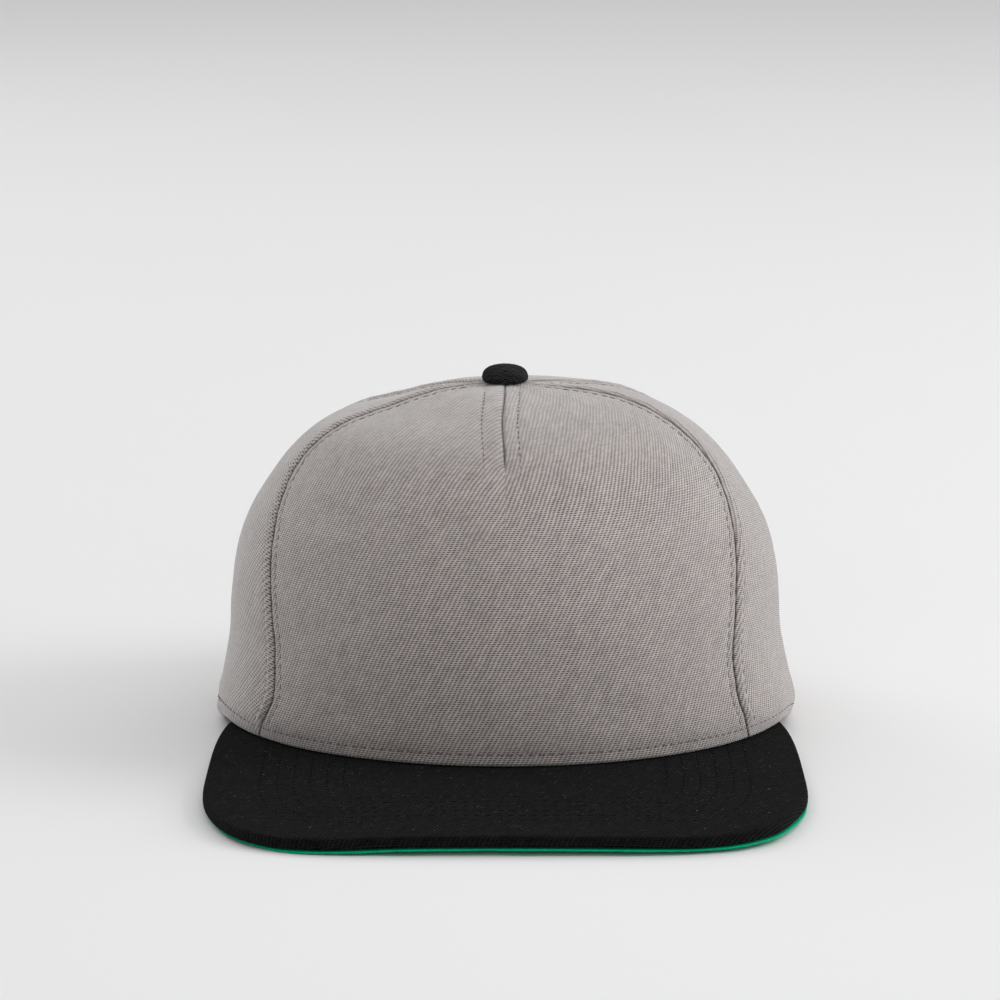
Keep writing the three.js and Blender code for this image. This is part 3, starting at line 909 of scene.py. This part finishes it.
def seam_rows():
    rows = []
    level = np.linspace(level_at(HEM_ROW + ROW_END_GAP), ROW_TOP, 500)
    for hand in (1, -1):
        for name in ("front_seam", "rear_seam"):
            seam = seam_direction(name, level, hand)
            radius = outer_radius(seam, level)
            for offset, sink in ((-SEAM_ROW_FRONT, FRONT_SINK), (SEAM_ROW_SIDE, SIDE_SINK)):
                crown_row(rows, hand * (seam + offset / radius), level, -sink)
    arch_level = np.linspace(level_at(ARCH_HEIGHT + HEM_ROW + ROW_END_GAP), ROW_TOP, 300)
    radius = outer_radius(np.full_like(arch_level, math.pi), arch_level)
    for hand in (1, -1):
        crown_row(rows, hand * (math.pi - SEAM_ROW_FRONT / radius), arch_level, -MIDDLE_SINK)
    add_piece(joined(rows, "seam_stitches"), grey_thread.material)


def dart_rows():
    rows = []
    radii = np.linspace(DART_STITCH_FROM, DART_REACH + 4, 200)
    level = level_of_radius(radii)
    for row in DART_ROWS:
        crown_row(rows, (row + dart_bend(radii)) / radii, level, -DART_SINK)
    groove = radii < DART_REACH - 2
    middle = dart_bend(radii[groove]) / radii[groove]
    crown_row(rows, middle, level[groove], -DART_GROOVE_SINK, pitch=3.0, length=1.9)
    add_piece(joined(rows, "dart_stitches"), grey_thread.material)


def hem_rows():
    rows = []
    foot = math.pi - (ARCH_HALF_WIDTH + HEM_ROW) / CROWN_ROWS[0][3]
    angle = np.linspace(-foot, foot, 1400)
    crown_row(rows, angle, level_at(hem_row(angle)), side_dimple(angle, hem_row(angle)) - HEM_SINK)
    turn = np.linspace(0.06, math.pi - 0.06, 500)
    reach = 1 + HEM_ROW / ((ARCH_HALF_WIDTH + ARCH_HEIGHT) / 2)
    arch_angle = math.pi - reach * ARCH_HALF_WIDTH * np.cos(turn) / CROWN_ROWS[0][3]
    crown_row(rows, arch_angle, level_at(reach * ARCH_HEIGHT * np.sin(turn)), -ARCH_SINK)
    add_piece(joined(rows, "hem_stitches"), grey_thread.material)


seam_rows()
dart_rows()
hem_rows()


# Button: a spun dome in twill


BUTTON_RADIUS = 7.3
BUTTON_RISE = 5.4
BUTTON_PROFILE = (
    (0, -4.2), (2.8, -4.2), (2.8, -0.1), (5.6, -0.05), (6.6, 0.1), (7.1, 0.5), (BUTTON_RADIUS, 1.2),
    (BUTTON_RADIUS, 2.0), (7.0, 3.0), (6.4, 3.85), (5.4, 4.55), (4.0, 5.05), (2.6, 5.35), (1.3, 5.5),
    (0, 5.55),
)


def button():
    shape = bmesh.new()
    foot = CROWN_HEIGHT + PIECE_GAP
    profile = [shape.verts.new((radius * MM, 0, (foot + height) * MM)) for radius, height in BUTTON_PROFILE]
    edges = [shape.edges.new(pair) for pair in zip(profile, profile[1:])]
    bmesh.ops.spin(
        shape, geom=profile + edges, cent=(0, 0, 0), axis=(0, 0, 1), dvec=(0, 0, 0),
        angle=2 * math.pi, steps=96, use_merge=True, use_duplicate=False,
    )
    bmesh.ops.remove_doubles(shape, verts=shape.verts[:], dist=1e-6)
    bmesh.ops.subdivide_edges(shape, edges=shape.edges[:], cuts=1, use_grid_fill=True)
    bmesh.ops.recalc_face_normals(shape, faces=shape.faces[:])
    mesh = mesh_of(shape, "button_cover")
    points = read_points(mesh) / MM
    radius = np.hypot(points[:, 0], points[:, 1])
    turn = np.arctan2(points[:, 1], points[:, 0])
    height = points[:, 2] - foot
    low = hump(height - 0.6, 1.3) * (radius > 4)
    gather = 0.10 * np.sin(13 * turn + 0.7) * low + 0.06 * np.sin(7 * turn) * low
    scale = 1 + gather / np.maximum(radius, 1)
    shaped = np.stack((points[:, 0] * scale, points[:, 1] * scale, points[:, 2]), -1)
    from_top = radius + np.maximum(0, 4.2 - height) * (radius > 4)
    write_points(mesh, set_in_place(shaped))
    write_cloth(mesh, from_top * np.cos(turn), from_top * np.sin(turn))
    add_piece(mesh, button_twill.material, ["top_button"])


button()


# Brim


def brim_outline(count):
    """The brim's outline in plan at even steps, from its left tip round the front to the right."""
    turn = np.linspace(0, math.pi / 2, 200)
    x = BRIM_HALF_WIDTH * np.sin(turn) ** (2 / BRIM_SIDE_POWER)
    reach = BRIM_FRONT + BRIM_EASE - BRIM_WIDEST_AT
    depth = reach * np.cos(turn) ** (2 / BRIM_FRONT_POWER)
    front = np.stack((x, -BRIM_WIDEST_AT - depth), -1)
    back = np.linspace(0, 1, 120)[1:]
    x = BRIM_HALF_WIDTH - (BRIM_HALF_WIDTH - BRIM_TIP_HALF_WIDTH) * back**4
    side = np.stack((x, -BRIM_WIDEST_AT + (BRIM_WIDEST_AT - BRIM_TIP_AT) * back), -1)
    half = np.concatenate((front, side))
    path = np.concatenate((half[:0:-1] * (-1, 1), half))
    forward = ramp(-path[:, 1], *SLACK_FORWARD)
    path[:, 0] += CORNER_SLACK * ramp(-path[:, 0], *SLACK_LEFT) * forward
    path[:, 0] -= RIGHT_SLACK * ramp(path[:, 0], *SLACK_RIGHT) * forward
    steps = np.linalg.norm(np.diff(path, axis=0), axis=-1)
    lengths = np.concatenate(([0], np.cumsum(steps)))
    wanted = np.linspace(0, lengths[-1], count + 1)
    return np.stack([np.interp(wanted, lengths, path[:, axis]) for axis in (0, 1)], -1)


def brim_lift(x, y):
    """How far the board is bent up along its front, and at its right front corner."""
    front = ramp(-y, *EDGE_LIFT_FORWARD) * (1 - ramp(-x, *EDGE_LIFT_LEFT_END))
    corner = ramp(x, *CORNER_ACROSS) * ramp(-y, *CORNER_FORWARD)
    return EDGE_LIFT * front + CORNER_LIFT * corner


def outward(path):
    """Level directions away from the brim at each point of its outline."""
    along = np.gradient(path, axis=0)
    normal = np.stack((-along[:, 1], along[:, 0]), -1)
    normal = normal / np.linalg.norm(normal, axis=-1, keepdims=True)
    return -normal if normal[len(path) // 2, 1] > 0 else normal


def edge_distance(plan):
    """The shortest way from points in plan to the brim's outline."""
    outline = brim_outline(500)
    return np.min(np.linalg.norm(plan[:, None, :] - outline[None, :, :], axis=-1), axis=1)


def brim_sections(edge_steps, low, high, edge_round, board_rows):
    """Rows round a cut through the brim: inset from the edge, share of the reach, and height."""
    middle = (low + high) / 2
    half = (high - low) / 2
    under = [(edge_round, share, low) for share in (1, 0.75, 0.5, 0.25, 0.1)]
    roll = []
    for step in range(edge_steps + 1):
        turn = math.pi * (step / edge_steps - 0.5)
        inset = edge_round * (1 - math.cos(turn) ** 0.7)
        rise = math.copysign(abs(math.sin(turn)) ** 0.7, turn)
        roll.append((inset, 0, middle + half * rise))
    top = [(edge_round, (step + 1) / board_rows, high) for step in range(board_rows)]
    return np.array(under + roll + top + under[:1])


def brim_layer(name, columns, sections, inset, relief, material, replaced):
    """A closed layer of the brim: a strip wrapped round its cut, with both tips filled."""
    mesh, share, row = flat_strip(name, columns, len(sections) - 1)
    column = np.rint(share * columns).astype(int)
    outline = brim_outline(columns)
    away = outward(outline)
    angle = np.linspace(-BRIM_TIP_ANGLE, BRIM_TIP_ANGLE, columns + 1)
    inner = on_circle(angle, outer_radius(angle, np.zeros_like(angle)) - WALL, 0)[:, :2]
    reach = np.linalg.norm(inner - outline, axis=-1)[column]
    edge_inset = inset(np.arange(columns + 1))[column] + sections[row, 0]
    total = edge_inset + (reach - edge_inset) * sections[row, 1]
    plan = outline[column] + (inner[column] - outline[column]) * np.minimum(1, total / reach)[:, None]
    height = sections[row, 2]
    is_top = height >= sections[:, 2].max() - 1e-6
    height = height + np.where(is_top, relief(plan), 0)
    level = brim_underside(plan[:, 0], plan[:, 1]) + brim_lift(plan[:, 0], plan[:, 1]) + height
    write_points(mesh, set_in_place(np.stack((plan[:, 0], plan[:, 1], level), -1)))
    wrapped = np.maximum(0, sections[:, 2].max() - sections[row, 2]) * (sections[row, 1] == 0)
    cloth = plan + away[column] * wrapped[:, None]
    write_cloth(mesh, cloth[:, 0], cloth[:, 1])
    close_ends(mesh)
    add_piece(mesh, material, replaced)


def board_relief(plan):
    """Grooves under the rows of stitches, and the cloth standing a little between them."""
    distance = edge_distance(plan)
    grooves = sum(-BRIM_GROOVE * hump(distance - row, 0.8) for row in BRIM_ROWS)
    wave = 0.09 * np.sin(plan[:, 0] * 0.11 + 0.6) * np.sin(plan[:, 1] * 0.14 + 1.1)
    between = 0.05 * np.sin(distance * 1.25) * (distance > 14) * (distance < 45)
    return grooves + wave + between


def lining_inset(index):
    """The lining's edge is cut a little unevenly, and lies further in at the left front corner."""
    uneven = 0.3 * np.sin(index * 0.19 + 0.7) * np.sin(index * 0.071) + 0.1 * np.sin(index * 0.53)
    x = brim_outline(BRIM_COLUMNS)[index, 0]
    return LINING_INSET + uneven + LINING_INSET_LEFT * ramp(-x, *LINING_LEFT)


brim_layer(
    "brim_cover", BRIM_COLUMNS, brim_sections(12, LINING + PIECE_GAP, BRIM_THICKNESS, BRIM_EDGE_ROUND, 62),
    lambda index: np.zeros(len(index)), board_relief, black_twill.material, ["brim_top"],
)
brim_layer(
    "brim_under_cloth", BRIM_COLUMNS, brim_sections(8, 0.05, LINING - 0.1, 0.35, 12),
    lining_inset, lambda plan: 0, green_twill.material, ["brim_lining"],
)


def brim_height(x, y):
    return brim_underside(x, y) + brim_lift(x, y) + BRIM_THICKNESS


def brim_stitches():
    """Rows of black stitches at even distances inside the brim's outline."""
    rows = []
    outline = brim_outline(900)
    away = outward(outline)
    for row in BRIM_ROWS:
        path = outline - away * row
        angle = np.arctan2(path[:, 0], -path[:, 1])
        rim = outer_radius(angle, np.zeros_like(angle))
        clear = np.hypot(path[:, 0], path[:, 1]) > rim + 0.6
        kept = path[clear & (edge_distance(path) > row - 0.15)]
        height = brim_height(kept[:, 0], kept[:, 1]) + board_relief(kept) + 0.01
        points = np.stack((kept[:, 0], kept[:, 1], height), -1)
        normals = np.tile((0.0, 0.0, 1.0), (len(points), 1))
        stitch_row(rows, points, normals, pitch=3.3, length=2.3, width=0.36, height=0.3)
    add_piece(joined(rows, "brim_stitches"), black_thread.material)


brim_stitches()


# Sweatband and strap


def band_strip(name, columns, start, end, section, foot, material, replaced):
    """A closed band inside the crown. section gives rows of height and depth behind its outer face."""
    mesh, share, row = flat_strip(name, columns, len(section) - 1)
    angle = start + (end - start) * share
    height = foot(angle) + section[row, 0]
    rim = rim_height(angle)
    level = level_at((height - rim) / (1 - rim / CROWN_HEIGHT))
    radius = outer_radius(angle, level) - BAND_INSET - section[row, 1]
    write_points(mesh, set_in_place(on_circle(angle, radius, height)))
    write_cloth(mesh, angle * 90, section[row, 0] + section[row, 1])
    close_ends(mesh)
    add_piece(mesh, material, replaced)


def round_section(height, depth, corner, faces):
    """Rows round a flat bar's cut, with rounded edges, back to the first row."""
    rows = []
    corners = ((corner, 0, -1), (height - corner, 0, 1), (height - corner, 1, 1), (corner, 1, -1))
    for number, (middle, back, up) in enumerate(corners):
        for step in range(5):
            turn = math.pi / 2 * (step / 4)
            if number % 2 == 0:
                swing = math.pi / 2 - turn
            else:
                swing = turn
            rise = up * corner * math.sin(swing)
            sink = corner * (1 - math.cos(swing))
            rows.append((middle + rise, depth - sink if back else sink))
        if number in (0, 2):
            target = corners[number + 1]
            for step in range(1, faces):
                share = step / faces
                rows.append((middle + (target[0] - middle) * share, depth if back else 0))
    return np.array(rows + rows[:1])


def band_foot(angle):
    height, share = brim_under_rim(angle)
    return 0.6 + share * height


band_strip(
    "sweatband_cloth", 240, -BAND_END, BAND_END, round_section(BAND_HEIGHT, BAND_WALL, BAND_EDGE, 14),
    band_foot, band_cloth.material, ["sweatband"],
)


def strap():
    """The closing strap, with the round heads of its snaps on the outer face."""
    section = round_section(STRAP_HEIGHT, STRAP_WALL, STRAP_EDGE, 8)
    band_strip(
        "strap_moulding", 90, STRAP_END, 2 * math.pi - STRAP_END, section,
        lambda angle: STRAP_FOOT, plastic.material, ["snap_strap"],
    )
    shape = bmesh.new()
    level = level_at(STRAP_HEIGHT / 2)
    for number in range(SNAP_COUNT):
        turn = (number - (SNAP_COUNT - 1) / 2) * SNAP_PITCH / row_value("back", level)
        angle = math.pi + float(turn)
        radius = float(outer_radius(np.array([angle]), np.array([level]))[0]) - BAND_INSET
        spot = on_circle(angle, radius, STRAP_FOOT + STRAP_HEIGHT / 2)
        facing = Vector((math.sin(angle), -math.cos(angle), 0))
        turned = facing.to_track_quat("Z", "Y").to_matrix().to_4x4()
        matrix = Matrix.Translation(Vector(set_in_place(spot))) @ turned
        flat = Matrix.Diagonal((1, 1, 0.42, 1))
        bmesh.ops.create_uvsphere(
            shape, u_segments=20, v_segments=12, radius=SNAP_RADIUS * MM, matrix=matrix @ flat,
        )
        bmesh.ops.create_cone(
            shape, cap_ends=True, segments=24, radius1=2.9 * MM, radius2=2.5 * MM, depth=0.5 * MM,
            matrix=matrix,
        )
    add_piece(mesh_of(shape, "strap_snaps"), plastic.material)


strap()


# Lint and loose fibres on the brim


def scatter(name, count, lengths, widths, material):
    """Short fibres that lie on the brim in all directions."""
    bunch = 80
    bunches = []
    half = BRIM_HALF_WIDTH - 4
    spots = np.array([(random.uniform(-half, half), -random.uniform(35, BRIM_FRONT)) for _ in range(count)])
    angle = np.arctan2(spots[:, 0], -spots[:, 1])
    clear = np.hypot(spots[:, 0], spots[:, 1]) > outer_radius(angle, np.zeros_like(angle)) + 1.5
    spots = spots[clear]
    corner = (np.abs(spots[:, 0]) / BRIM_HALF_WIDTH) ** 4 + (-spots[:, 1] / BRIM_FRONT) ** 12 < 0.8
    spots = spots[corner]
    shape = bmesh.new()
    for number, ((x, y), height) in enumerate(zip(spots, brim_height(spots[:, 0], spots[:, 1]))):
        if number % bunch == bunch - 1:
            bunches.append(mesh_of(shape, name))
            shape = bmesh.new()
        turn = random.uniform(0, math.pi)
        along = Vector((math.cos(turn), math.sin(turn), random.uniform(-0.15, 0.15))).normalized()
        upright = (Vector((0, 0, 1)) - along * along.z).normalized()
        middle = Vector(set_in_place(np.array((x, y, height + 0.1))))
        size = random.uniform(*lengths) * MM
        width = random.uniform(*widths) * MM
        add_stitch(shape, middle, along, upright, size, width, width)
    bunches.append(mesh_of(shape, name))
    add_piece(joined(bunches, name), material)


def button_fuzz():
    """Short fibres that stand off the button's cloth."""
    shape = bmesh.new()
    for _ in range(150):
        radius = BUTTON_RADIUS * math.sqrt(random.random())
        height = BUTTON_RISE * math.sqrt(max(0.02, 1 - (radius / 7.4) ** 2.6))
        spot = on_circle(random.uniform(0, 2 * math.pi), radius, CROWN_HEIGHT + PIECE_GAP + height)
        along = Vector([random.uniform(-1, 1) for _ in range(3)]).normalized()
        middle = Vector(set_in_place(spot))
        size = random.uniform(0.6, 1.5) * MM
        add_stitch(shape, middle, along, along.orthogonal(), size, 0.05 * MM, 0.05 * MM)
    add_piece(mesh_of(shape, "button_fuzz"), fibre_thread.material)


button_fuzz()
scatter("lint", 90, (0.3, 0.8), (0.07, 0.14), lint_thread.material)
scatter("loose_fibres", 1500, (0.5, 2.2), (0.04, 0.08), fibre_thread.material)


# Floor, light and camera


def studio():
    shape = bmesh.new()
    bmesh.ops.create_grid(shape, x_segments=1, y_segments=1, size=8)
    floor = bpy.data.objects.new("floor", mesh_of(shape, "floor"))
    bpy.context.scene.collection.objects.link(floor)
    paper = Finish("paper_floor", {"Roughness": 0.9, "Specular IOR Level": 0.2})
    place = paper.node("ShaderNodeTexCoord", output="Object")
    mottle = paper.noise(place, 3.0, 2.0)
    paper.set("Base Color", paper.tint(mottle, colour(0.86, 0.86, 0.86), colour(0.88, 0.88, 0.88)))
    floor.data.materials.append(paper.material)
    world = bpy.data.worlds.new("studio_air")
    world.use_nodes = True
    sky = world.node_tree.nodes["Background"]
    sky.inputs["Color"].default_value = colour(1.0, 1.0, 1.0)
    sky.inputs["Strength"].default_value = 0.25
    bpy.context.scene.world = world


CAP_MIDDLE = (0, 0.03, 0.06)
LIGHTS = (  # name, place, what it is aimed at, width, depth, watts
    ("overhead", (0.6, 0.9, 2.8), (0.6, 0.9, 0), 7, 6, 92),
    ("low_fill", (-0.2, -2.2, 0.9), (0, 0, 0.04), 1.6, 0.8, 6.8),
    ("right_window", (2.0, -0.1, 0.9), CAP_MIDDLE, 1.4, 1.4, 23),
    ("right_rim", (1.6, 1.5, 1.1), CAP_MIDDLE, 1.4, 1.4, 3),
    ("left_rim", (-1.6, 1.5, 1.1), CAP_MIDDLE, 1.4, 1.4, 8),
)


def soft_light(name, place, aim, width, depth, power):
    light = bpy.data.lights.new(name, "AREA")
    light.shape = "RECTANGLE"
    light.size = width
    light.size_y = depth
    light.energy = power
    lamp = bpy.data.objects.new(name, light)
    lamp.location = place
    lamp.rotation_euler = (Vector(aim) - Vector(place)).to_track_quat("-Z", "Y").to_euler()
    bpy.context.scene.collection.objects.link(lamp)


CAMERA_PITCH = math.radians(10.9)
CAMERA_DISTANCE = 1.5
CAMERA_TARGET = Vector((-0.0016, AXIS.y, 0.0709))
FOCAL_PIXELS = 4700
FRAME_PIXELS = 1000


def photo_camera():
    data = bpy.data.cameras.new("photo_camera")
    data.sensor_width = 36
    data.sensor_fit = "HORIZONTAL"
    data.lens = data.sensor_width * FOCAL_PIXELS / FRAME_PIXELS
    camera = bpy.data.objects.new("photo_camera", data)
    back = Vector((0, -math.cos(CAMERA_PITCH), math.sin(CAMERA_PITCH)))
    camera.location = CAMERA_TARGET + CAMERA_DISTANCE * back
    camera.rotation_euler = (math.pi / 2 - CAMERA_PITCH, 0, 0)
    bpy.context.scene.collection.objects.link(camera)
    bpy.context.scene.camera = camera


studio()
for light in LIGHTS:
    soft_light(*light)
photo_camera()
bpy.context.scene.view_settings.view_transform = "Standard"
